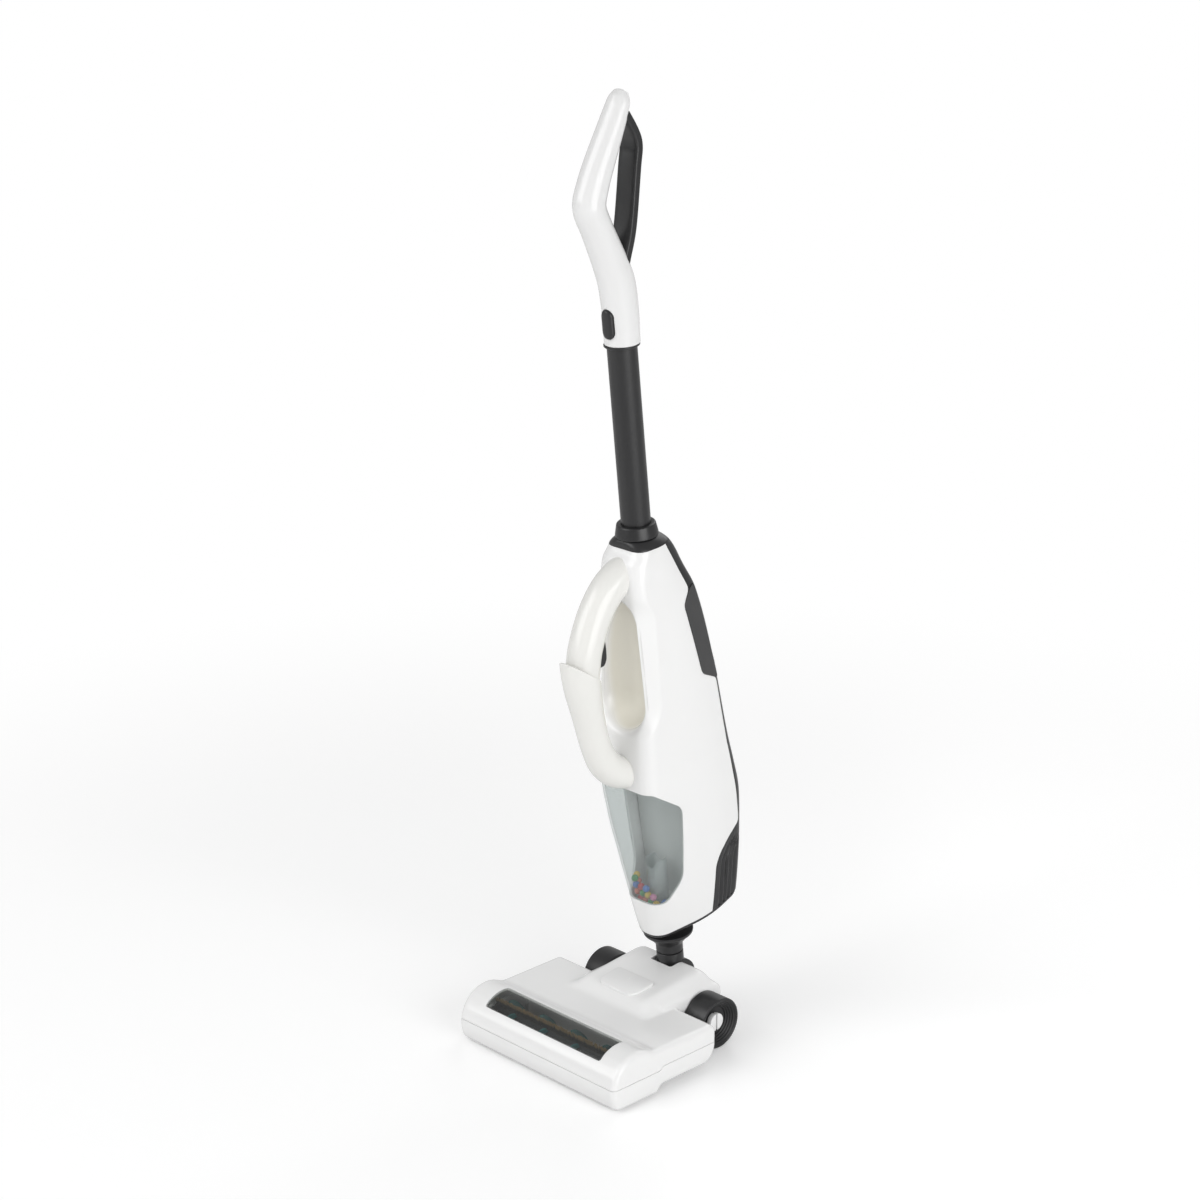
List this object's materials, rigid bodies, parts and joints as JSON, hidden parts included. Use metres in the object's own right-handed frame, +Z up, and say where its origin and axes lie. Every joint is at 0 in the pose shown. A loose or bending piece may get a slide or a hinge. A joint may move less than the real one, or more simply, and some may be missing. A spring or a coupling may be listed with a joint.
{
  "type": "toy vacuum cleaner",
  "caption": "Toy upright vacuum cleaner with a wheeled floor head and roller brush, a tilting body with a bead chamber and carrying handle, an extension tube and a loop handle.",
  "frame": {"origin": "on the floor, midway across the head and midway between the head's front and the body's back", "axes": "+Z up, -Y the way the head faces, +X to the side of the right wheel"},
  "size_m": [0.145, 0.167, 0.6262],
  "materials": {
    "white_shell": "smooth gloss",
    "cream_handle": "smooth gloss",
    "black_shell": "satin",
    "wheel_black": "satin",
    "side_grip": "fine grain",
    "brush_window": "smoked clear",
    "dust_window": "smoked clear",
    "clear_plastic": "clear",
    "filter_mesh": "mesh",
    "brush_core": "moulded",
    "bristle": "fibre",
    "fin": "smooth",
    "steel": "plated",
    "motor_can": "drawn can",
    "inner_plastic": "moulded",
    "switch_plastic": "moulded",
    "cell_jacket": "sleeve",
    "bead_red": "foam",
    "bead_orange": "foam",
    "bead_green": "foam",
    "bead_yellow": "foam",
    "bead_pink": "foam",
    "bead_blue": "foam"
  },
  "bodies": {
    "head": {"head_cover": "white_shell", "head_base": "white_shell", "brush_window": "brush_window", "brush_bushes": "brush_core", "left_axle_pin": "white_shell", "right_axle_pin": "white_shell", "pivot_rod": "steel", "head_screws": "steel"},
    "stick": {"neck_elbow": "black_shell", "nozzle": "black_shell", "body_bottom": "black_shell", "front_shell": "white_shell", "rear_shell": "black_shell", "left_side_grip": "side_grip", "right_side_grip": "side_grip", "handle_arch": "cream_handle", "handle_sleeve": "cream_handle", "dust_window": "dust_window", "dust_cup": "clear_plastic", "suction_pipe": "clear_plastic", "filter": "filter_mesh", "beads_red": "bead_red", "beads_orange": "bead_orange", "beads_green": "bead_green", "beads_yellow": "bead_yellow", "beads_pink": "bead_pink", "beads_blue": "bead_blue", "motor_bulkhead": "inner_plastic", "motor": "motor_can", "battery_tray": "inner_plastic", "batteries": "cell_jacket", "battery_contacts": "steel", "battery_door": "black_shell", "door_screw": "steel", "switch": "switch_plastic", "tube_collar": "black_shell", "tube": "black_shell", "tube_flange": "black_shell", "top_handle": "white_shell", "top_handle_bar": "black_shell", "body_screws": "steel"},
    "left_wheel": {"left_wheel": "wheel_black"},
    "right_wheel": {"right_wheel": "wheel_black"},
    "brush": {"brush_core": "brush_core", "brush_shaft": "steel", "bristle_rows": "bristle", "brush_fins": "fin"},
    "fan": {"fan": "inner_plastic", "fan_shaft": "steel"},
    "trigger": {"trigger": "black_shell", "trigger_spring": "steel"},
    "button": {"release_button": "black_shell", "button_spring": "steel"}
  },
  "joints": [
    {"name": "neck_tilt", "type": "hinge", "parent": "head", "child": "stick", "pos_m": [0, 0.04288, 0.03], "axis": [-1, 0, 0], "range_deg": [0, 65]},
    {"name": "left_wheel_spin", "type": "hinge", "parent": "head", "child": "left_wheel", "pos_m": [0, 0.03138, 0.0174], "axis": [1, 0, 0], "continuous": true},
    {"name": "right_wheel_spin", "type": "hinge", "parent": "head", "child": "right_wheel", "pos_m": [0, 0.03138, 0.0174], "axis": [1, 0, 0], "continuous": true},
    {"name": "brush_spin", "type": "hinge", "parent": "head", "child": "brush", "pos_m": [0, -0.06103, 0.0152], "axis": [1, 0, 0], "continuous": true},
    {"name": "fan_spin", "type": "hinge", "parent": "stick", "child": "fan", "pos_m": [0, 0.03968, 0.19565], "axis": [0, -0.1097, 0.994], "continuous": true},
    {"name": "trigger_pull", "type": "slide", "parent": "stick", "child": "trigger", "axis": [0, -0.994, -0.1097], "range_m": [0, 0.003], "stiffness_N_per_m": 400, "springref_m": -0.002},
    {"name": "button_press", "type": "slide", "parent": "stick", "child": "button", "axis": [0, 0.994, 0.1097], "range_m": [0, 0.002], "stiffness_N_per_m": 400, "springref_m": -0.002}
  ]
}
